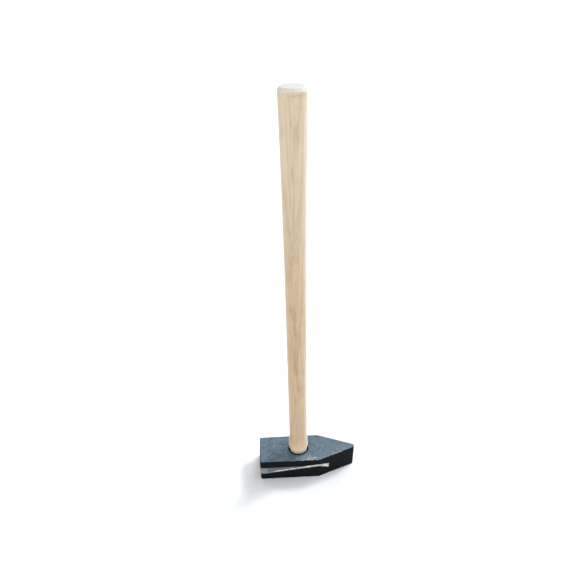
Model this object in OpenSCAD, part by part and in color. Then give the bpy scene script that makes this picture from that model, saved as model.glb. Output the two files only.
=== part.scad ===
// Long-handled driving maul: a forged head with a flat poll and a blunt wedge nose,
// wedged on a straight ash handle of oval section. It stands on the underside of the head.
// Origin: the handle's axis on the plane that the head stands on.
// +Z runs up the handle and +X points from the poll to the nose.

/* [Head] */
// Length of the head from the poll face to the nose
head_l = 200; // [180:1:220]
// Width of the head across the cheeks
head_w = 62; // [56:1:70]
// Height of the head along the handle
head_h = 60; // [54:1:70]
// Length of the square body, from the poll face to the start of the wedge
body_l = 124; // [115:1:130]
// Width of the blunt nose edge
nose_w = 7; // [6:0.5:12]
// Rounding of the nose's two corners, seen along the handle
nose_r = 3.5; // [2:0.25:4]
// Chamfer round the poll face
poll_chamfer = 1.5; // [1.25:0.25:5]
// Chamfer along the long edges
edge_chamfer = 0.75; // [0.5:0.25:1]

/* [Eye] */
// Width of the eye and the handle across the head, over their width along the head
section_ratio = 0.83; // [0.8:0.01:1]
// Distance from the poll face to the axis of the eye
eye_from_poll = 82; // [74:1:86]
// Half width of the eye's straight bore along the head
eye_r = 17; // [16.5:0.5:18]
// Half width of the countersunk mouth at the top of the head, along the head
mouth_r = 21; // [20:0.5:23]
// Half width of the flare at the bottom of the eye, along the head
eye_foot_r = 18.2; // [18:0.1:19.5]

/* [Cheek grooves] */
// Height of the upper lip's level stretch above the base
groove_top = 39; // [36:1:42]
// Opening of the groove at the poll
groove_poll_h = 19; // [14:1:22]
// Distance from the poll face to the place where the upper lip starts to rise
groove_bend = 85; // [70:1:100]
// Height of the upper lip where the wedge starts
groove_neck_top = 43.5; // [39:0.5:46]
// Opening of the groove where the wedge starts
groove_neck_h = 6; // [4:0.5:10]
// Depth of the groove at the poll
groove_depth = 9; // [5:0.5:9]
// Length of the groove's parallel stretch at the poll
groove_parallel = 14; // [8:1:20]
// Opening of the fan where the groove runs out on the wedge
runout_h = 13.5; // [10:0.5:16]
// Height of the middle of that fan above the base
runout_z = 29.1; // [26:0.1:32]
// Distance that the groove runs on past the start of the wedge
runout_l = 21; // [18:0.5:26]
// Depth of the groove where it runs out
runout_depth = 2.2; // [1:0.1:3]

/* [Handle] */
// Overall height of the tool
overall_h = 800; // [700:10:900]
// Half width of the swollen stretch just above the head, along the head
shoulder_r = 19.7; // [19.5:0.1:20.5]
// Height above the head at which the tenon has swollen to that stretch
swell_h = 16; // [8:1:20]
// Height of the top of that stretch above the head
shoulder_h = 26; // [21:1:35]
// Height of the neck above the head
neck_h = 53; // [45:1:70]
// Half width of the neck above that stretch
neck_r = 17.7; // [16.5:0.1:18.5]
// Height of the waist, the thinnest place
waist_z = 500; // [400:10:600]
// Half width at the waist
waist_r = 17.35; // [16:0.05:18]
// Half width near the free end
end_r = 19.5; // [18.5:0.1:21]
// Rounding of the free end
end_round = 4.6; // [3:0.1:6]

/* [Eye wedges] */
// Thickness of the wooden wedge at its wide end
wood_wedge_t = 7; // [5:0.5:8]
// Length of the wooden wedge along the handle
wood_wedge_l = 42; // [36:1:46]
// Thickness of each steel wedge at its wide end
steel_wedge_t = 4; // [3:0.5:5]
// Length of each steel wedge along the handle
steel_wedge_l = 24; // [20:1:28]
// Width of each steel wedge
steel_wedge_w = 19; // [16:1:20]
// Distance of each steel wedge from the handle's axis
steel_wedge_x = 8; // [7:0.5:8.5]

/* [Hidden] */
$fn = 96;
eps = 1;
fit_gap = 0.03;
cheek_y = head_w / 2;
poll_x = -eye_from_poll;
wedge_x = poll_x + body_l;
nose_x = poll_x + head_l;
wedge_l = head_l - body_l;
corner_chamfer = (poll_chamfer + edge_chamfer) / 2;
groove_neck_depth = groove_depth * groove_neck_h / groove_poll_h;
groove_bend_t = (groove_bend - groove_parallel) / (body_l - groove_parallel);
groove_bend_low = groove_top - groove_poll_h
    + (groove_neck_top - groove_neck_h - groove_top + groove_poll_h) * groove_bend_t;
groove_bend_depth = groove_depth * (groove_top - groove_bend_low) / groove_poll_h;
mouth_depth = mouth_r - eye_r;
eye_foot_depth = 14;
tenon_gap = 0.05;
tenon_r = eye_r - tenon_gap;
tenon_foot_r = eye_foot_r - tenon_gap;
tenon_recess = 1;
shoulder_top = head_h + shoulder_h;
neck_z = head_h + neck_h;
flare_z = overall_h - end_round;
flare_power = 2.2;
tip_wedge_t = 1;
arc_steps = 6;
swell_steps = 8;
nose_steps = 5;
neck_steps = 8;
shaft_steps = 6;
flare_steps = 12;
groove_over = 3;
nose_turn = 90 - atan2(cheek_y - nose_w / 2, wedge_l);
nose_mid_y = nose_w / 2 - nose_r * tan(nose_turn / 2);

// A value that eases from a to b as t goes from 0 to 1
function ease(a, b, t) = a + (b - a) * (1 - cos(180 * t)) / 2;

// Distance of the cheek's surface from the middle plane, at a place along the head
function cheek_at(x) = x <= wedge_x
    ? cheek_y
    : cheek_y - (cheek_y - nose_w / 2) * (x - wedge_x) / wedge_l;

// Rounded corner of the nose: from the front wedge cheek for side -1, to the rear one for side 1
function nose_corner(side) = [
    for (i = [0 : nose_steps])
        let (t = side < 0 ? nose_turn * (i / nose_steps - 1) : nose_turn * i / nose_steps)
        [nose_x - nose_r + nose_r * cos(t), side * nose_mid_y + nose_r * sin(t)]
];

// Outline of the head seen along the handle, anticlockwise from the poll's front corner
head_outline = concat(
    [[poll_x, poll_chamfer - cheek_y], [poll_x + poll_chamfer, -cheek_y], [wedge_x, -cheek_y]],
    nose_corner(-1),
    nose_corner(1),
    [[wedge_x, cheek_y], [poll_x + poll_chamfer, cheek_y], [poll_x, cheek_y - poll_chamfer]]
);
outline_count = len(head_outline);

// Leg of the chamfer along each edge of that outline, largest on the poll
edge_legs = [
    for (i = [0 : outline_count - 1])
        i == outline_count - 1 ? poll_chamfer
        : i == 0 || i == outline_count - 2 ? corner_chamfer
        : edge_chamfer
];

// Cuts a 45 degree chamfer of the given leg along one outline edge, at height z
module edge_cut(from, to, z, leg) {
    run = to - from;
    translate([(from.x + to.x) / 2, (from.y + to.y) / 2, z])
        rotate([0, 0, atan2(run.y, run.x)])
            rotate([45, 0, 0])
                cube([norm(run) + 4 * leg, leg * sqrt(2), leg * sqrt(2)], center = true);
}

// Places along the groove: [x, surface y, upper lip z, lower lip z, depth]
groove_places = [
    [poll_x - eps, cheek_y, groove_top, groove_top - groove_poll_h, groove_depth],
    [poll_x + groove_parallel, cheek_y, groove_top, groove_top - groove_poll_h, groove_depth],
    [poll_x + groove_bend, cheek_y, groove_top, groove_bend_low, groove_bend_depth],
    [wedge_x, cheek_y, groove_neck_top, groove_neck_top - groove_neck_h, groove_neck_depth],
    [wedge_x + runout_l / 2, cheek_at(wedge_x + runout_l / 2),
        (groove_neck_top + runout_z + runout_h / 2) / 2,
        (groove_neck_top - groove_neck_h + runout_z - runout_h / 2) / 2, groove_neck_depth],
    [wedge_x + runout_l, cheek_at(wedge_x + runout_l),
        runout_z + runout_h / 2, runout_z - runout_h / 2, runout_depth]
];

// The groove's V section at one place, carried outwards past the cheek's surface
function groove_section(p) =
    let (root_z = (p[2] + p[3]) / 2, half = (p[2] - p[3]) / 2, grow = 1 + groove_over / p[4])
    [
        [p[0], p[1] + groove_over, root_z + half * grow],
        [p[0], p[1] + groove_over, root_z - half * grow],
        [p[0], p[1] - p[4], root_z]
    ];

// Cutter for the tapered groove on the rear cheek
module groove_cutter() {
    count = len(groove_places);
    points = [for (p = groove_places) each groove_section(p)];
    sides = [
        for (i = [0 : count - 2], j = [0 : 2])
            let (a = 3 * i + j, b = 3 * i + (j + 1) % 3)
            each [[a, b, a + 3], [b, b + 3, a + 3]]
    ];
    polyhedron(points, concat([[2, 1, 0]], sides, [[3 * count - 3, 3 * count - 2, 3 * count - 1]]));
}

// Squeezes a round shape across the head, into the oval of the eye and the handle
module oval() scale([1, section_ratio, 1]) children();

// Hole for the handle: a straight bore, flared at the foot, with a countersunk mouth
module eye() {
    foot_slope = (eye_foot_r - eye_r) / eye_foot_depth;
    oval() rotate_extrude()
        polygon([
            [0, -eps],
            [eye_foot_r + eps * foot_slope, -eps],
            [eye_r, eye_foot_depth],
            [eye_r, head_h - mouth_depth],
            [mouth_r + eps, head_h + eps],
            [0, head_h + eps]
        ]);
}

// Forged head, with its eye, chamfers and cheek grooves
module maul_head() color("#3a4248") {
    difference() {
        linear_extrude(head_h) polygon(head_outline);
        for (z = [0, head_h], i = [0 : outline_count - 1])
            edge_cut(head_outline[i], head_outline[(i + 1) % outline_count], z, edge_legs[i]);
        eye();
        groove_cutter();
        mirror([0, 1, 0]) groove_cutter();
    }
}

// Half width of the handle, along the head, at a height above its shoulder
function grip_r(z) =
    z < neck_z ? ease(shoulder_r, neck_r, (z - shoulder_top) / (neck_z - shoulder_top))
    : z < waist_z ? ease(neck_r, waist_r, (z - neck_z) / (waist_z - neck_z))
    : waist_r + (end_r - waist_r) * pow((z - waist_z) / (flare_z - waist_z), flare_power);

// Points of the handle's outline from one height to another, in equal steps
function grip_points(from, to, steps, first) =
    [for (i = [first : steps]) let (z = from + (to - from) * i / steps) [grip_r(z), z]];

// Half outline of the handle, from the foot of the tenon to the middle of the free end
handle_outline = concat(
    [
        [0, tenon_recess],
        [tenon_foot_r - (tenon_foot_r - tenon_r) * tenon_recess / eye_foot_depth, tenon_recess],
        [tenon_r, eye_foot_depth],
        [tenon_r, head_h - mouth_depth]
    ],
    [
        for (i = [1 : swell_steps])
            let (t = i / swell_steps)
            [ease(tenon_r, shoulder_r, t), head_h - mouth_depth + (mouth_depth + swell_h) * t]
    ],
    grip_points(shoulder_top, neck_z, neck_steps, 0),
    grip_points(neck_z, waist_z, shaft_steps, 1),
    grip_points(waist_z, flare_z, flare_steps, 1),
    [
        for (i = [1 : arc_steps])
            let (a = 90 * i / arc_steps)
            [end_r - end_round * (1 - cos(a)), flare_z + end_round * sin(a)]
    ],
    [[0, overall_h]]
);

// Taper that narrows upwards from the foot of the tenon: the section of every wedge
module wedge_bar(t, length, width, grow = 0) {
    rotate([90, 0, 90])
        translate([0, 0, -width / 2 - grow])
            linear_extrude(width + 2 * grow)
                polygon([
                    [-t / 2 - grow, tenon_recess],
                    [t / 2 + grow, tenon_recess],
                    [tip_wedge_t / 2 + grow, tenon_recess + length + grow],
                    [-tip_wedge_t / 2 - grow, tenon_recess + length + grow]
                ]);
}

// Both steel wedges lie across the wooden one, at the same distance either side of the axis
module steel_wedge(side, grow = 0) {
    translate([side * steel_wedge_x, 0, 0])
        rotate([0, 0, 90])
            wedge_bar(steel_wedge_t, steel_wedge_l, steel_wedge_w, grow);
}

// Ash handle with its tenon, kerf and the slots that the steel wedges make
module handle() color("#d9bf93") {
    difference() {
        oval() rotate_extrude() polygon(handle_outline);
        wedge_bar(wood_wedge_t, wood_wedge_l, 2 * eye_foot_r, fit_gap);
        for (side = [-1, 1]) steel_wedge(side, fit_gap);
    }
}

// Hardwood wedge that fills the kerf from wall to wall of the tenon
module wooden_wedge() color("#b98a55") {
    difference() {
        intersection() {
            wedge_bar(wood_wedge_t, wood_wedge_l, 2 * eye_foot_r);
            oval() cylinder(r = tenon_r - fit_gap / section_ratio, h = head_h);
        }
        for (side = [-1, 1]) steel_wedge(side, fit_gap);
    }
}

module poll_side_steel_wedge() color("#9a9da0") steel_wedge(-1);

module nose_side_steel_wedge() color("#9a9da0") steel_wedge(1);

maul_head();
handle();
wooden_wedge();
poll_side_steel_wedge();
nose_side_steel_wedge();
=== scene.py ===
"""Looks for the long-handled driving maul: forged head, ash handle and the three eye wedges.

Everything is in metres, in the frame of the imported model: +Z up the handle, +X from the poll to
the nose, and the head stands on z = 0.
"""

import math

import bmesh
import bpy
import numpy as np
from mathutils import Euler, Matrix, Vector, noise


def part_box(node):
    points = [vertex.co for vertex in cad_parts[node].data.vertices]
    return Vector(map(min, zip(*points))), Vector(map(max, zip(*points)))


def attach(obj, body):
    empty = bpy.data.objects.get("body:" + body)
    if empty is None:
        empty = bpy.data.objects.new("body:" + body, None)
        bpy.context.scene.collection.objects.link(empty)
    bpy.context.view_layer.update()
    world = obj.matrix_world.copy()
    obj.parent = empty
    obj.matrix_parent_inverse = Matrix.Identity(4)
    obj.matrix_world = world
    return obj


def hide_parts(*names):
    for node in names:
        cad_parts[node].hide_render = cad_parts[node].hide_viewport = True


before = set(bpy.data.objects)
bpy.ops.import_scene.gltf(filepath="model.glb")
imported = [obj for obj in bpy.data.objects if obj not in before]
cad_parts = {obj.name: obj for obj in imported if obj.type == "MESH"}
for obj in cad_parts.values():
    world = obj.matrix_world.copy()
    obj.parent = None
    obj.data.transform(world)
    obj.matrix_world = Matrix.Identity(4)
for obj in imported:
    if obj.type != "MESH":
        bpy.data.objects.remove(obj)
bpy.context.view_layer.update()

MM = 0.001

# Head, from the frame and the driving dimensions of the model
head_low, head_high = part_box("maul_head")
poll_x = head_low.x
head_h = head_high.z
cheek_y = head_high.y
body_l = 124 * MM
wedge_x = poll_x + body_l
nose_half = 3.5 * MM
wedge_run = head_high.x - wedge_x
mouth_r = 21 * MM
mouth_depth = 4 * MM
section_ratio = 0.83

# Groove on each cheek, and the fan that runs out of it on the wedge
groove_depth = 9 * MM
groove_top = 39 * MM
groove_poll_open = 19 * MM
groove_neck_top = 43.5 * MM
groove_neck_open = 6 * MM
groove_parallel = 14 * MM
groove_bend = 85 * MM
runout_l = 21 * MM
runout_z = 29.1 * MM
runout_open = 13.5 * MM

# The strip worn bare inside the groove's lower lip, painted bright as the lip's highlight. Its
# stretches are measured from the poll.
strip_in = 2.1 * MM
strip_half = 0.85 * MM
strip_start = 24 * MM
strip_widens = 78 * MM
strip_widest = body_l - 2 * MM

# Paint rubbed off the top: a patch towards the front cheek, and a stretch of the edge beside it
rub_x = 22 * MM
rub_y = 29 * MM
rub_reach_x = 20 * MM
rub_reach_y = 9 * MM
edge_rub_start = 30 * MM
edge_rub_end = 108 * MM
edge_rub_fade = 20 * MM
edge_rub_in = 1.5 * MM
edge_rub_reach = 2.5 * MM

# Handle
handle_low, handle_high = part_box("handle")
foot_z = handle_low.z
top_z = handle_high.z
tenon_r = 16.95 * MM
tenon_foot_r = 18.15 * MM
eye_foot_depth = 14 * MM
shoulder_r = 19.7 * MM
swell_h = 16 * MM
shoulder_top = head_h + 26 * MM
neck_r = 17.7 * MM
neck_z = head_h + 53 * MM
waist_r = 17.35 * MM
waist_z = 500 * MM
end_r = 19.5 * MM
end_round = 4.6 * MM
flare_power = 2.2

# Tints on the handle: the height below which the wood is darkest, and how far the grey painted as
# shade where the wood meets the head and the foot painted lighter against that shade reach above the
# head
low_tint_z = 330 * MM
grey_full_h = 3 * MM
grey_end_h = 7.5 * MM
foot_full_h = 6 * MM
foot_end_h = 45 * MM

# The heart streak in the wood: height in mm, turn from the front towards the nose, half its
# spread round the handle (both in radians) and how dark it is
heart_streak = [
    (70, -0.10, 0.14, 0.0),
    (120, -0.15, 0.16, 0.4),
    (205, -0.22, 0.10, 0.35),
    (222, -0.30, 0.16, 0.75),
    (242, -0.28, 0.17, 0.8),
    (252, 0.00, 0.09, 0.6),
    (272, -0.04, 0.09, 0.8),
    (294, -0.12, 0.11, 0.8),
    (304, -0.20, 0.28, 1.0),
    (356, -0.20, 0.29, 1.0),
    (372, -0.20, 0.12, 0.4),
    (392, -0.20, 0.15, 0.85),
    (425, -0.22, 0.22, 0.9),
    (450, -0.40, 0.42, 0.6),
    (475, -0.35, 0.30, 0.0),
]
# Small marks in the wood: height in mm, turn, reach in mm, spread and strength
wood_marks = [
    (787, 0.53, 4, 0.06, 0.7),
    (778, 0.56, 3, 0.06, 0.6),
    (760, -0.23, 9, 0.07, 0.45),
    (690, -0.19, 7, 0.15, 0.55),
    (676, -0.62, 16, 0.09, 0.35),
    (641, -0.10, 12, 0.08, 0.45),
    (600, -0.55, 14, 0.22, 0.35),
    (552, -0.30, 42, 0.32, 0.5),
    (520, -0.45, 26, 0.14, 0.45),
    (335, -0.75, 26, 0.16, 0.4),
    (262, -0.62, 20, 0.22, 0.35),
    (150, 0.15, 22, 0.10, 0.3),
]

# Sizes and counts of the mesh work
head_voxel = 0.85 * MM
wooden_wedge_voxel = 0.4 * MM
steel_wedge_voxel = 0.35 * MM
soften_passes = 2
edge_blur = 2
ring_step = 3 * MM
handle_sides = 120
tenon_steps = 12
swell_steps = 8
end_round_steps = 8
end_rings = 6
end_ring_step = 2 * MM


# ---------------------------------------------------------------- mesh helpers


def new_object(name, mesh):
    piece = bpy.data.objects.new(name, mesh)
    bpy.context.scene.collection.objects.link(piece)
    return piece


def apply_modifiers(piece):
    """Replaces the piece's mesh by what its modifiers make of it."""
    graph = bpy.context.evaluated_depsgraph_get()
    made = bpy.data.meshes.new_from_object(piece.evaluated_get(graph))
    piece.modifiers.clear()
    piece.data = made


def remeshed_copy(node, name, voxel):
    """A copy of a CAD node as one even mesh, with its edges softened."""
    piece = new_object(name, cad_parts[node].data.copy())
    remesh = piece.modifiers.new("even", "REMESH")
    remesh.mode = "VOXEL"
    remesh.voxel_size = voxel
    smooth = piece.modifiers.new("soften", "SMOOTH")
    smooth.factor = 0.5
    smooth.iterations = soften_passes
    apply_modifiers(piece)
    piece.data.shade_smooth()
    return piece


def points_of(mesh):
    co = np.empty(len(mesh.vertices) * 3)
    mesh.vertices.foreach_get("co", co)
    return co.reshape(-1, 3)


def normals_of(mesh):
    normals = np.empty(len(mesh.vertices) * 3)
    mesh.vertex_normals.foreach_get("vector", normals)
    return normals.reshape(-1, 3)


def set_points(mesh, co):
    mesh.vertices.foreach_set("co", np.ascontiguousarray(co).ravel())
    mesh.update()


def store(mesh, name, values):
    """Keeps one number per vertex, for the materials to read."""
    layer = mesh.attributes.new(name, "FLOAT", "POINT")
    layer.data.foreach_set("value", np.ascontiguousarray(values, dtype=np.float32))


def neighbour_mean(mesh, values):
    """Each vertex's mean of what its neighbours hold."""
    edges = np.empty(len(mesh.edges) * 2, dtype=np.int64)
    mesh.edges.foreach_get("vertices", edges)
    a, b = edges.reshape(-1, 2).T
    total = np.zeros_like(values)
    np.add.at(total, a, values[b])
    np.add.at(total, b, values[a])
    count = np.bincount(edges, minlength=len(values)).clip(1)
    return total / (count[:, None] if values.ndim > 1 else count)


def convexity(mesh, voxel):
    """How far each vertex stands out from its neighbours, in voxels: positive on outer edges."""
    co = points_of(mesh)
    out = ((co - neighbour_mean(mesh, co)) * normals_of(mesh)).sum(1) / voxel
    for _ in range(edge_blur):
        out = (out + neighbour_mean(mesh, out)) / 2
    return out


def noise_at(co, size, seed):
    """Smooth noise between about -1 and 1 at each point, with features of the given size."""
    shift = Vector((seed * 7.3, seed * 3.1, seed * 5.7))
    scale = Vector(size) if isinstance(size, tuple) else Vector((size,) * 3)
    return np.array(
        [noise.noise(Vector((p[0] / scale.x, p[1] / scale.y, p[2] / scale.z)) + shift) for p in co]
    )


def smooth_step(low, high, values):
    t = ((values - low) / (high - low)).clip(0, 1)
    return t * t * (3 - 2 * t)


# ---------------------------------------------------------------- forged head


def cheek_at(x):
    """Distance of the cheek's surface from the middle plane, at places along the head."""
    return cheek_y - (cheek_y - nose_half) * ((x - wedge_x) / wedge_run).clip(0, 1)


def groove_lips(x):
    """Heights of the groove's upper and lower lips, at places along the head."""
    level, bend, end = poll_x + groove_parallel, poll_x + groove_bend, wedge_x + runout_l
    upper = [groove_top, groove_neck_top, runout_z + runout_open / 2]
    lower = [
        groove_top - groove_poll_open,
        groove_neck_top - groove_neck_open,
        runout_z - runout_open / 2,
    ]
    return np.interp(x, [bend, wedge_x, end], upper), np.interp(x, [level, wedge_x, end], lower)


def groove_masks(x, y, z, ragged, uneven):
    """The groove's walls, painted lighter as sky light; what is worn bare inside it, painted bright
    as a highlight; and the lighter patch at its open end.

    The two noises break up the edges of these places and the width of the bright strip.
    """
    depth = cheek_at(x) - np.abs(y)
    upper, lower = groove_lips(x)
    along = x - poll_x
    fan_end = wedge_x + runout_l
    walls = smooth_step(-0.3 * MM, 0.6 * MM, depth) * (depth < groove_depth + 0.6 * MM)
    walls *= smooth_step(-0.6 * MM, 0.4 * MM, z - lower)
    walls *= smooth_step(-0.3 * MM, 0.3 * MM, upper - z)
    walls *= (x > poll_x + 0.4 * MM) & (x < fan_end + 0.6 * MM)

    from_lip = np.hypot((z - lower).clip(0, None), depth.clip(0, None))
    centre = strip_in + 0.3 * MM * ragged
    half = strip_half * (0.9 + 0.5 * uneven + smooth_step(strip_widens, strip_widest, along))
    strip = 1 - smooth_step(half * 0.7, half * 1.3, np.abs(from_lip - centre))
    strip *= smooth_step(strip_start, strip_start + 10 * MM, along + 4 * MM * ragged)
    fan_start = wedge_x + runout_l * 0.1
    fan = smooth_step(fan_start, fan_start + 5 * MM, x + 1.5 * MM * ragged)
    fan *= 1 - smooth_step(fan_end - 1.2 * MM, fan_end - 0.2 * MM, x)
    bare_and_highlight = np.maximum(strip * (x < fan_start + 2 * MM), fan)

    open_end_edge = along + 1.5 * MM * ragged
    open_end_patch = 1 - smooth_step(groove_parallel - 1 * MM, groove_parallel + 1 * MM, open_end_edge)
    return walls, walls * bare_and_highlight, open_end_patch * walls


def rubbed_at(x, y):
    """How far paint is rubbed off the top: in the patch, and along the edge beside it."""
    patch = np.exp(-(((x - rub_x) / rub_reach_x) ** 2) - ((y + rub_y) / rub_reach_y) ** 2)
    from_edge = cheek_at(x) + y - edge_rub_in
    edge_rub = 0.6 * np.exp(-((from_edge / edge_rub_reach) ** 2))
    edge_rub *= smooth_step(edge_rub_start, edge_rub_start + edge_rub_fade, x)
    edge_rub *= 1 - smooth_step(edge_rub_end - edge_rub_fade, edge_rub_end, x)
    return np.maximum(patch, edge_rub)


def forged_head():
    """The head as a forging, with what the enamel needs to know about each place on it."""
    piece = remeshed_copy("maul_head", "forged_head", head_voxel)
    mesh = piece.data
    edge = smooth_step(0.03, 0.13, convexity(mesh, head_voxel))
    co, normals = points_of(mesh), normals_of(mesh)
    x, y, z = co.T

    # The hammer's broad marks, the scale's fine relief and small nicks in the outer edges
    broad = noise_at(co, 26 * MM, 1)
    fine = noise_at(co, 5 * MM, 2)
    nick = smooth_step(0.35, 0.7, noise_at(co, 7 * MM, 3)) * edge
    in_eye = 1 - smooth_step(mouth_r - 0.2 * MM, mouth_r + 0.6 * MM, np.hypot(x, y / section_ratio))
    relief = 0.16 * MM * broad + 0.05 * MM * fine - 0.35 * MM * nick
    co = co + normals * (relief * (1 - in_eye))[:, None]
    set_points(mesh, co.clip(np.array(head_low), np.array(head_high)))

    ragged, uneven = noise_at(co, 9 * MM, 4), noise_at(co, 5 * MM, 5)
    walls, bare_and_highlight, open_end_patch = groove_masks(x, y, z, ragged, uneven)
    upper_half = z > head_h / 2
    # The enamel paints the groove's walls and what faces up lighter as sky light, the bright strip
    # as a highlight, and the eye's mouth dark as shade
    store(mesh, "edge", edge)
    store(mesh, "bare_and_highlight", bare_and_highlight)
    store(mesh, "groove", walls)
    store(mesh, "open_end_patch", open_end_patch)
    store(mesh, "rubbed", rubbed_at(x, y) * upper_half)
    store(mesh, "in_eye", in_eye)
    store(mesh, "upward", smooth_step(0.72, 0.95, normals[:, 2]) * upper_half)
    return piece


# ---------------------------------------------------------------- ash handle


def ease(a, b, t):
    """From a to b as t goes from 0 to 1, level at both ends."""
    return a + (b - a) * (1 - math.cos(math.pi * t)) / 2


def grip_r(z):
    """Half width of the handle, along the head, at a height from its shoulder up."""
    if z < shoulder_top:
        return shoulder_r
    if z < neck_z:
        return ease(shoulder_r, neck_r, (z - shoulder_top) / (neck_z - shoulder_top))
    if z < waist_z:
        return ease(neck_r, waist_r, (z - neck_z) / (waist_z - neck_z))
    rise = (z - waist_z) / (top_z - end_round - waist_z)
    return waist_r + (end_r - waist_r) * rise**flare_power


def handle_profile():
    """Half width and height of each ring, from the foot of the tenon to the free end."""
    foot_r = tenon_foot_r - (tenon_foot_r - tenon_r) * foot_z / eye_foot_depth
    mouth_z = head_h - mouth_depth
    rows = [(foot_r - 0.4 * MM, foot_z), (foot_r, foot_z + 0.4 * MM), (tenon_r, eye_foot_depth)]
    tenon = [i / tenon_steps for i in range(1, tenon_steps + 1)]
    rows += [(tenon_r, eye_foot_depth + (mouth_z - eye_foot_depth) * t) for t in tenon]
    swell = [i / swell_steps for i in range(1, swell_steps + 1)]
    rows += [(ease(tenon_r, shoulder_r, t), mouth_z + (mouth_depth + swell_h) * t) for t in swell]
    start, flare_z = rows[-1][1], top_z - end_round
    count = round((flare_z - start) / ring_step)
    heights = [start + (flare_z - start) * i / count for i in range(1, count + 1)]
    rows += [(grip_r(z), z) for z in heights]
    for i in range(1, end_round_steps + 1):
        a = math.pi / 2 * i / end_round_steps
        rows.append((end_r - end_round * (1 - math.cos(a)), flare_z + end_round * math.sin(a)))
    return rows + [(end_r - end_round - i * end_ring_step, top_z) for i in range(1, end_rings + 1)]


def handle_mesh():
    """The handle as oval rings, closed at its foot and free end."""
    mesh = bpy.data.meshes.new("ash_handle")
    bm = bmesh.new()
    turns = [2 * math.pi * i / handle_sides for i in range(handle_sides)]
    oval = [(math.cos(t), section_ratio * math.sin(t)) for t in turns]
    rings = [[bm.verts.new((r * x, r * y, z)) for x, y in oval] for r, z in handle_profile()]
    for below, above in zip(rings, rings[1:]):
        for i in range(handle_sides):
            j = (i + 1) % handle_sides
            bm.faces.new((below[i], below[j], above[j], above[i]))
    crown = bm.verts.new((0, 0, top_z))
    for i in range(handle_sides):
        bm.faces.new((rings[-1][i], rings[-1][(i + 1) % handle_sides], crown))
    bm.faces.new(rings[0][::-1])
    bm.to_mesh(mesh)
    bm.free()
    mesh.shade_smooth()
    return mesh


def heart_at(z, turn):
    """How dark the heart streak and the small marks make the wood, at heights and turns."""
    heights, *streak_rows = np.array(heart_streak).T
    centre, spread, darkness = (np.interp(z, heights * MM, row) for row in streak_rows)
    heart = darkness * np.exp(-(((turn - centre) / spread) ** 4))
    for mark_z, mark_turn, mark_reach, mark_spread, strength in wood_marks:
        along = (z - mark_z * MM) / (mark_reach * MM)
        across = (turn - mark_turn) / mark_spread
        heart = np.maximum(heart, strength * np.exp(-(along**2) - across**2))
    return heart


def ash_handle():
    """The handle with its worked surface, and what the ash needs to know about each place on it."""
    mesh = handle_mesh()
    piece = new_object("ash_handle", mesh)

    # Slight flats left by shaping, raised grain, and a few small dents in the grip
    co, normals = points_of(mesh), normals_of(mesh)
    z = co[:, 2]
    free = smooth_step(head_h + 2 * MM, head_h + 30 * MM, z)
    flats = noise_at(co, (14 * MM, 14 * MM, 160 * MM), 11)
    grain = noise_at(co, (1.6 * MM, 1.6 * MM, 45 * MM), 12)
    dents = smooth_step(0.55, 0.8, noise_at(co, (9 * MM, 9 * MM, 13 * MM), 13))
    relief = (0.16 * flats + 0.045 * grain - 0.22 * dents) * MM * free
    co = co + normals * relief[:, None]
    co[:, 2] = co[:, 2].clip(foot_z, top_z)
    set_points(mesh, co)

    turn = np.arctan2(co[:, 0], -co[:, 1]) + 0.05 * noise_at(co, (30 * MM, 30 * MM, 22 * MM), 14)
    store(mesh, "heart", heart_at(z, turn))

    # Tints along it: darker low down, painted shade on the poll's side, the foot painted lighter and
    # warmer against the shade by the head, and the lip painted grey as shade
    poll_side = 0.8 - 0.2 * co[:, 0] / end_r
    store(mesh, "low", (1 - smooth_step(low_tint_z, top_z, z)) * poll_side)
    store(mesh, "foot", 1 - smooth_step(head_h + foot_full_h, head_h + foot_end_h, z))
    lip_edge = z + 1.5 * MM * noise_at(co, 6 * MM, 16)
    lip = 1 - smooth_step(head_h + grey_full_h, head_h + grey_end_h, lip_edge)
    store(mesh, "lip", lip * (z > head_h / 2))

    # The tenon, painted near black as shade where it stands in the eye's mouth, and bare where its
    # foot is sawn off
    in_mouth = 1 - smooth_step(head_h - 1.2 * MM, head_h + 0.4 * MM, z)
    store(mesh, "in_mouth", in_mouth * smooth_step(foot_z + 1 * MM, foot_z + 8 * MM, z))
    store(mesh, "sawn_foot", 1 - smooth_step(foot_z, foot_z + 3 * MM, z))

    # The free end: its worn face, the brink round it, the rounded rim and the line under that
    brink = np.exp(-(((normals[:, 2] - 0.88) / 0.1) ** 2)) * (z > top_z - end_round)
    store(mesh, "brink", brink)
    under = np.exp(-(((z - top_z + end_round + 3 * MM) / (2.2 * MM)) ** 2))
    store(mesh, "under_rim", under * smooth_step(-0.5, 0.4, noise_at(co, 9 * MM, 15)))
    store(mesh, "rim", smooth_step(top_z - end_round * 1.05, top_z - end_round * 0.85, z))
    worn = 0.45 * (co[:, 0] / end_r).clip(0, 1)
    store(mesh, "end", smooth_step(0.8, 0.97, normals[:, 2] + worn) * (z > top_z - end_round))
    return piece


# ---------------------------------------------------------------- eye wedges


def cut_kerf(handle):
    """Cuts the kerf and slots that the wedges fill out of the tenon."""
    for node in ("wooden_wedge", "poll_side_steel_wedge", "nose_side_steel_wedge"):
        cut = handle.modifiers.new(node, "BOOLEAN")
        cut.operation = "DIFFERENCE"
        cut.solver = "EXACT"
        cut.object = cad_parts[node]
    apply_modifiers(handle)


def wedge(node, name, voxel, seed):
    """A wedge with softened edges and the rough face that a hammer leaves."""
    piece = remeshed_copy(node, name, voxel)
    mesh = piece.data
    co, normals = points_of(mesh), normals_of(mesh)
    struck = 1 - smooth_step(0.3 * MM, 2 * MM, co[:, 2] - foot_z)
    relief = -0.12 * MM * struck * (1 + noise_at(co, 2.5 * MM, seed)) / 2
    low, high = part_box(node)
    set_points(mesh, (co + normals * relief[:, None]).clip(np.array(low), np.array(high)))
    store(mesh, "edge", smooth_step(0.02, 0.12, convexity(mesh, voxel)))
    return piece


# ---------------------------------------------------------------- materials


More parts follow.
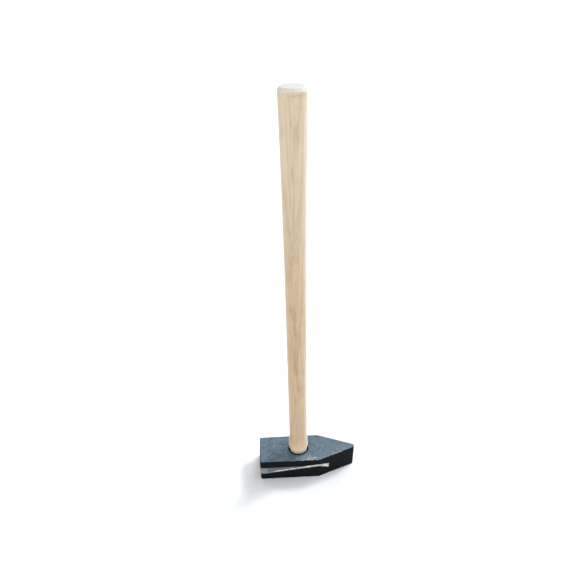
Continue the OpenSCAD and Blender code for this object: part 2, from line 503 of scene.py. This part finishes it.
class Shader:
    """A material's nodes, added and joined by short calls. An input is a socket or a value."""

    def __init__(self, name):
        self.material = bpy.data.materials.new(name)
        self.material.use_nodes = True
        self.nodes = self.material.node_tree.nodes
        self.nodes.clear()
        self.place = self.add("ShaderNodeTexCoord", "Object")

    def feed(self, socket, value):
        if isinstance(value, bpy.types.NodeSocket):
            self.material.node_tree.links.new(value, socket)
        elif value is not None:
            socket.default_value = value

    def add(self, kind, output, settings=None, **inputs):
        node = self.nodes.new(kind)
        for key, value in (settings or {}).items():
            setattr(node, key, value)
        for key, value in inputs.items():
            self.feed(node.inputs[key.replace("_", " ")], value)
        return node.outputs[output]

    def math(self, operation, *values):
        node = self.nodes.new("ShaderNodeMath")
        node.operation = operation
        for socket, value in zip(node.inputs, values):
            self.feed(socket, value)
        return node.outputs[0]

    def kept(self, name):
        """A number stored on the mesh."""
        return self.add("ShaderNodeAttribute", "Fac", {"attribute_name": name})

    def stretched(self, x, y, z, turn=(0, 0, 0), shift=(0, 0, 0)):
        settings = {"Vector": self.place, "Scale": (x, y, z), "Rotation": turn, "Location": shift}
        return self.add("ShaderNodeMapping", 0, **settings)

    def noise(self, scale, detail=3.0, rough=0.5, place=None, warp=0.0):
        settings = {"Scale": scale, "Detail": detail, "Roughness": rough, "Distortion": warp}
        return self.add("ShaderNodeTexNoise", "Fac", Vector=place or self.place, **settings)

    def between(self, value, low, high, to_low=0.0, to_high=1.0):
        """Maps low..high to to_low..to_high, eased and clamped."""
        node = self.nodes.new("ShaderNodeMapRange")
        node.interpolation_type = "SMOOTHSTEP"
        for socket, given in zip(node.inputs, (value, low, high, to_low, to_high)):
            self.feed(socket, given)
        return node.outputs[0]

    def mix(self, factor, a, b, blend="MIX"):
        node = self.nodes.new("ShaderNodeMix")
        node.data_type, node.blend_type = "RGBA", blend
        for index, value in ((0, factor), (6, a), (7, b)):
            self.feed(node.inputs[index], value)
        return node.outputs[2]

    def mix_value(self, factor, a, b):
        node = self.nodes.new("ShaderNodeMix")
        for index, value in ((0, factor), (2, a), (3, b)):
            self.feed(node.inputs[index], value)
        return node.outputs[0]

    def bump(self, height, distance, strength=1.0, under=None):
        settings = {"Height": height, "Distance": distance, "Strength": strength, "Normal": under}
        return self.add("ShaderNodeBump", 0, **settings)

    def surface(self, **inputs):
        shader = self.add("ShaderNodeBsdfPrincipled", 0, **inputs)
        output = self.nodes.new("ShaderNodeOutputMaterial")
        self.feed(output.inputs[0], shader)
        return self.material


def rgb(red, green, blue):
    """A colour as a screen shows it, 0 to 255, as the shaders' linear numbers."""
    return (*((c / 255) ** 2.2 for c in (red, green, blue)), 1)


def enamel_material():
    """Blue-black enamel on a forging, dusty where it faces up and worn bare on its edges, with
    painted light and shade: sky reflection on what faces up and in the groove, a highlight on the
    groove's bare strip, shade in the eye.
    """
    s = Shader("blue_black_enamel")
    patches = s.noise(60, 4, 0.65)
    mottle = s.noise(210, 3, 0.7)
    specks = s.noise(650, 2, 0.6)
    grit = s.noise(2400, 1)
    upward, rubbed = s.kept("upward"), s.kept("rubbed")
    paint = s.mix(s.between(mottle, 0.34, 0.72), rgb(13, 18, 22), rgb(22, 29, 33))

    # Dust and scale on what faces up, with painted sky reflection that makes it far lighter than the
    # cheeks
    dust_and_sky_reflection = s.mix(s.between(patches, 0.36, 0.62), rgb(71, 83, 92), rgb(83, 96, 105))
    dust_and_sky_reflection = s.mix(s.between(mottle, 0.5, 0.66, 0, 0.6), dust_and_sky_reflection, rgb(97, 110, 118))
    dust_and_sky_reflection = s.mix(s.math("MULTIPLY", rubbed, 0.6), dust_and_sky_reflection, rgb(100, 116, 127))
    dust_and_sky_reflection = s.mix(s.between(specks, 0.6, 0.72, 0, 0.5), dust_and_sky_reflection, rgb(60, 70, 76))
    paint = s.mix(s.math("MULTIPLY", upward, s.between(patches, 0.1, 0.5, 0.85, 1)), paint, dust_and_sky_reflection)

    # The groove's walls painted lighter as sky light, a lighter patch at its open end, and painted
    # shade in the mouth of the eye
    sky_lit_wall = s.mix(s.between(mottle, 0.4, 0.62), rgb(104, 112, 119), rgb(119, 128, 135))
    paint = s.mix(s.kept("groove"), paint, sky_lit_wall)
    # A lighter blue-grey and beige patch on the walls at the groove's open end
    open_end_tint = s.between(s.noise(330, 2, 0.6), 0.44, 0.6)
    open_end_amount = s.math("MULTIPLY", s.kept("open_end_patch"), s.between(s.noise(190, 3, 0.7), 0.38, 0.52))
    paint = s.mix(open_end_amount, paint, s.mix(open_end_tint, rgb(112, 132, 148), rgb(178, 163, 140)))
    # Painted shade: the mouth of the eye round the handle is painted near black
    paint = s.mix(s.kept("in_eye"), paint, rgb(10, 12, 13))

    # Chips on the edges and flecks on the top, closer together where the paint is rubbed
    fleck_bias = s.math("MULTIPLY", rubbed, 0.15)
    fleck_noise = s.math("ADD", s.noise(380, 1), fleck_bias)
    flecks = s.math("MULTIPLY", s.between(fleck_noise, 0.71, 0.76), upward)
    chip_noise = s.math("ADD", s.noise(230, 3, 0.6), fleck_bias)
    chips = s.math("MULTIPLY", s.kept("edge"), s.between(chip_noise, 0.6, 0.68))
    chips = s.math("MAXIMUM", chips, flecks)
    paint = s.mix(chips, paint, rgb(168, 163, 150))

    # Steel worn bare in the groove, with a little rust, painted near white as the lip's highlight
    # too
    bare_and_highlight = s.kept("bare_and_highlight")
    tint = s.between(s.noise(300, 2, 0.6), 0.5, 0.64)
    steel_and_highlight = s.mix(s.between(mottle, 0.35, 0.65), rgb(180, 176, 168), rgb(232, 226, 216))
    steel_and_highlight = s.mix(tint, steel_and_highlight, rgb(198, 160, 122))
    colour = s.mix(bare_and_highlight, paint, steel_and_highlight)

    rough = s.mix_value(bare_and_highlight, s.between(specks, 0.2, 0.8, 0.5, 0.64), 0.45)
    relief = s.bump(mottle, 0.16 * MM, 0.4)
    relief = s.bump(specks, 0.12 * MM, 0.5, relief)
    relief = s.bump(grit, 0.05 * MM, 0.35, relief)
    metalness = s.math("MULTIPLY", bare_and_highlight, 0.35)
    return s.surface(
        Base_Color=colour,
        Roughness=rough,
        Metallic=metalness,
        Normal=relief,
        Specular_IOR_Level=0.045,
    )


def wood_material(name, pale, dark, pore, ring_gap, pith, lean, contrast):
    """Ring-porous wood, whose rings lie round a pith beside the piece and lean along it.

    Returns the shader, and the colour, roughness and relief for its surface.
    """
    s = Shader(name)
    wave_unit = 2 * math.pi / 20  # distance between the wave texture's rings at a scale of 1
    log = s.stretched(1, 1, 0.12, (lean, lean * 0.4, 0), pith)
    rings = s.add(
        "ShaderNodeTexWave",
        "Fac",
        {"wave_type": "RINGS", "rings_direction": "Z", "wave_profile": "SAW"},
        Vector=log,
        Scale=wave_unit / ring_gap,
        Distortion=2.6,
        Detail=2,
        Detail_Scale=0.25,
    )
    early = s.between(rings, 0.5, 1.0)
    fibres = s.noise(1, 3, 0.65, s.stretched(900, 900, 22))

    # Streaks, bands, patches and dashes along the grain
    streaks = s.noise(1, 2, 0.55, s.stretched(520, 520, 9))
    bands = s.noise(1, 2, 0.5, s.stretched(150, 150, 7))
    patches = s.noise(1, 2, 0.5, s.stretched(120, 120, 26))
    tone = s.mix(s.between(streaks, 0.42, 0.59, 0.12, 0.88), pale, dark)
    tone = s.mix(s.between(bands, 0.45, 0.7, 0, 0.4), tone, dark)
    tone = s.mix(s.between(patches, 0.56, 0.7, 0, 0.35), tone, pore)
    tone = s.mix(s.math("MULTIPLY", early, contrast), tone, pore)
    dashes = s.noise(1, 2, 0.6, s.stretched(620, 620, 42))
    tone = s.mix(s.between(dashes, 0.56, 0.7, 0, 0.45), tone, pore)
    tone = s.mix(s.between(fibres, 0.35, 0.75, 0.0, 0.4), tone, pale)

    # Open pores, mostly in the early wood of each ring
    pores = s.noise(1, 1, 0.5, s.stretched(2600, 2600, 110))
    holes = s.math("MULTIPLY", s.between(pores, 0.6, 0.72), s.math("ADD", early, 0.12))
    colour = s.mix(s.math("MULTIPLY", holes, 0.5), tone, pore)
    rough = s.between(fibres, 0.2, 0.8, 0.52, 0.68)
    relief = s.bump(fibres, 0.08 * MM, 0.5)
    relief = s.bump(s.math("SUBTRACT", 1.0, holes), 0.07 * MM, 0.5, relief)
    return s, colour, rough, relief


def ash_material():
    """Pale ash with a darker heart streak, worn or sawn places at its ends, painted shade on its
    poll side, and painted shade and light where it meets the head.
    """
    s, colour, rough, relief = wood_material(
        "ash",
        pale=rgb(208, 190, 164),
        dark=rgb(195, 172, 142),
        pore=rgb(176, 145, 112),
        ring_gap=2.6 * MM,
        pith=(0.004, -0.085, 0),
        lean=0.09,
        contrast=0.3,
    )
    # Darker low down, and painted shade on the poll's side
    colour = s.mix(s.kept("low"), colour, rgb(235, 224, 207), "MULTIPLY")
    # Painted light: the foot is painted lighter and warmer against the shade by the head, and so are
    # its grain arcs
    colour = s.mix(s.math("MULTIPLY", s.kept("foot"), 0.5), colour, rgb(242, 218, 184))

    # Long arcs of grain towards the head: contour lines of a slow noise
    arc_lines = 12
    field = s.noise(1, 1, 0.4, s.stretched(48, 48, 5.5), 0.25)
    arcs = s.between(s.math("FRACT", s.math("MULTIPLY", field, arc_lines)), 0.45, 0.95, 0, 0.6)
    arcs = s.math("MULTIPLY", arcs, s.kept("low"))
    colour = s.mix(arcs, colour, s.mix(s.kept("foot"), rgb(174, 143, 108), rgb(196, 164, 126)))

    # The heart streak and its marks, broken up along the grain, and a few dark specks
    ragged = s.between(s.noise(1, 3, 0.6, s.stretched(480, 480, 30)), 0.4, 0.52, 0.4, 1)
    heart = s.math("MULTIPLY", s.kept("heart"), ragged)
    colour = s.mix(heart, colour, rgb(170, 140, 106))
    flecks = s.between(s.noise(1, 1, 0.5, s.stretched(600, 600, 190)), 0.63, 0.68)
    colour = s.mix(s.math("MULTIPLY", flecks, s.between(heart, 0.1, 0.4)), colour, rgb(160, 126, 92))
    specks = s.between(s.noise(260, 1), 0.78, 0.82)
    colour = s.mix(s.math("MULTIPLY", specks, 0.7), colour, rgb(150, 146, 138))

    # The free end
    colour = s.mix(s.math("MULTIPLY", s.kept("under_rim"), 0.5), colour, rgb(178, 149, 116))
    colour = s.mix(s.math("MULTIPLY", s.kept("rim"), 0.75), colour, rgb(204, 194, 180))
    sawn = s.between(s.noise(1, 2, 0.6, s.stretched(500, 500, 500)), 0.35, 0.65, 0.0, 0.3)
    end = s.math("MULTIPLY", s.kept("end"), s.math("SUBTRACT", 0.9, sawn))
    colour = s.mix(end, colour, rgb(148, 145, 142))
    broken = s.between(s.noise(330, 2, 0.6), 0.35, 0.6, 0.3, 0.8)
    colour = s.mix(s.math("MULTIPLY", s.kept("brink"), broken), colour, rgb(150, 130, 112))

    # The foot: painted grey as shade where it narrows into the head, sawn off below, and painted
    # near black as shade in the mouth of the eye
    colour = s.mix(s.math("MULTIPLY", s.kept("lip"), 0.85), colour, rgb(168, 171, 174))
    colour = s.mix(s.math("MULTIPLY", s.kept("sawn_foot"), 0.8), colour, rgb(172, 150, 122))
    colour = s.mix(s.kept("in_mouth"), colour, rgb(16, 16, 16))
    return s.surface(
        Base_Color=colour,
        Roughness=rough,
        Normal=relief,
        Specular_IOR_Level=0.4,
        Coat_Weight=0.8,
        Coat_Roughness=0.55,
        Sheen_Weight=0.45,
        Sheen_Roughness=0.3,
    )


def wedge_wood_material():
    """Browner wood with closer rings than the handle's."""
    s, colour, rough, relief = wood_material(
        "wedge_hardwood",
        pale=rgb(190, 150, 108),
        dark=rgb(168, 124, 84),
        pore=rgb(118, 80, 50),
        ring_gap=1.8 * MM,
        pith=(0.03, 0.01, 0),
        lean=0.05,
        contrast=0.5,
    )
    return s.surface(Base_Color=colour, Roughness=rough, Normal=relief)


def steel_material():
    """Bare steel with drawn lines, darker scale and bright worn edges."""
    s = Shader("wedge_steel")
    drawn = s.noise(1, 3, 0.6, s.stretched(150, 1800, 1800))
    scale = s.noise(180, 4, 0.65)
    colour = s.mix(s.between(scale, 0.45, 0.62), rgb(150, 150, 150), rgb(92, 86, 82))
    colour = s.mix(s.math("MULTIPLY", s.kept("edge"), 0.7), colour, rgb(205, 204, 200))
    rough = s.between(drawn, 0.3, 0.7, 0.3, 0.5)
    relief = s.bump(drawn, 0.05 * MM, 0.4)
    relief = s.bump(scale, 0.1 * MM, 0.4, relief)
    return s.surface(Base_Color=colour, Roughness=rough, Metallic=0.9, Normal=relief)


def floor_material():
    """A matt floor, a little short of white so that it doesn't swallow the pale outlines."""
    s = Shader("pale_floor")
    colour = s.mix(s.noise(6, 3), rgb(208, 208, 208), rgb(205, 205, 205))
    return s.surface(Base_Color=colour, Roughness=0.9)


# ---------------------------------------------------------------- stage


def make_floor():
    half = 20.0
    corners = [(-half, -half, 0), (half, -half, 0), (half, half, 0), (-half, half, 0)]
    mesh = bpy.data.meshes.new("floor")
    mesh.from_pydata(corners, [], [(0, 1, 2, 3)])
    floor = new_object("floor", mesh)
    mesh.materials.append(floor_material())


def sun(name, azimuth, elevation, strength, angle, colour):
    """A far lamp. Azimuth and elevation are where it stands, in degrees from +X towards +Y and up.

    Angle is how wide it looks, in degrees: the wider, the softer its shadows.
    """
    lamp = bpy.data.lights.new(name, "SUN")
    lamp.energy, lamp.angle, lamp.color = strength, math.radians(angle), colour
    holder = bpy.data.objects.new(name, lamp)
    bpy.context.scene.collection.objects.link(holder)
    a, e = math.radians(azimuth), math.radians(elevation)
    towards = Vector((math.cos(a) * math.cos(e), math.sin(a) * math.cos(e), math.sin(e)))
    holder.rotation_euler = towards.to_track_quat("Z", "Y").to_euler()


def make_lights():
    """Cool lamps on the nose's side and behind it, a soft overhead and a weak warm fill in front."""
    sun("key", 33, 48, 2.2, 12, (0.95, 0.98, 1.0))
    sun("low_side", 6, 22, 2.0, 30, (0.76, 0.89, 1.0))
    sun("overhead", 100, 76, 1.4, 90, (1.0, 0.985, 0.965))
    sun("front_fill", -118, 32, 1.3, 70, (1.0, 0.985, 0.96))
    sun("rim", 66, 26, 2.0, 24, (0.66, 0.84, 1.0))
    world = bpy.data.worlds.new("studio")
    world.use_nodes = True
    world.node_tree.nodes["Background"].inputs["Color"].default_value = (0.95, 0.97, 1.0, 1)
    world.node_tree.nodes["Background"].inputs["Strength"].default_value = 0.42
    bpy.context.scene.world = world


def make_camera():
    """Stands in front of the tool, higher than its free end, and looks down at it."""
    camera = bpy.data.cameras.new("camera")
    camera.sensor_width = 36
    camera.lens = 31.53
    camera.clip_end = 100
    holder = bpy.data.objects.new("camera", camera)
    bpy.context.scene.collection.objects.link(holder)
    holder.location = (-0.0274, -0.6419, 0.9799)
    pitch, yaw, roll = (math.radians(a) for a in (37.46, 1.34, -1.65))
    aim = Euler((math.pi / 2 - pitch, 0, -yaw), "XYZ").to_matrix()
    holder.rotation_euler = (aim @ Euler((0, 0, roll), "XYZ").to_matrix()).to_euler()
    bpy.context.scene.camera = holder
    bpy.context.scene.view_settings.view_transform = "Standard"


# ---------------------------------------------------------------- assembly


def finish_piece(piece, node, material):
    """Gives the piece its material, and says which node it replaces."""
    piece.data.materials.clear()
    piece.data.materials.append(material)
    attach(piece, "root")
    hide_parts(node)


make_camera()
make_lights()
make_floor()

handle = ash_handle()
cut_kerf(handle)
finish_piece(forged_head(), "maul_head", enamel_material())
finish_piece(handle, "handle", ash_material())
wood = wedge("wooden_wedge", "hardwood_wedge", wooden_wedge_voxel, 21)
finish_piece(wood, "wooden_wedge", wedge_wood_material())
steel = steel_material()
for side, seed in (("poll_side", 22), ("nose_side", 23)):
    node = side + "_steel_wedge"
    piece = wedge(node, side + "_wedge", steel_wedge_voxel, seed)
    finish_piece(piece, node, steel)
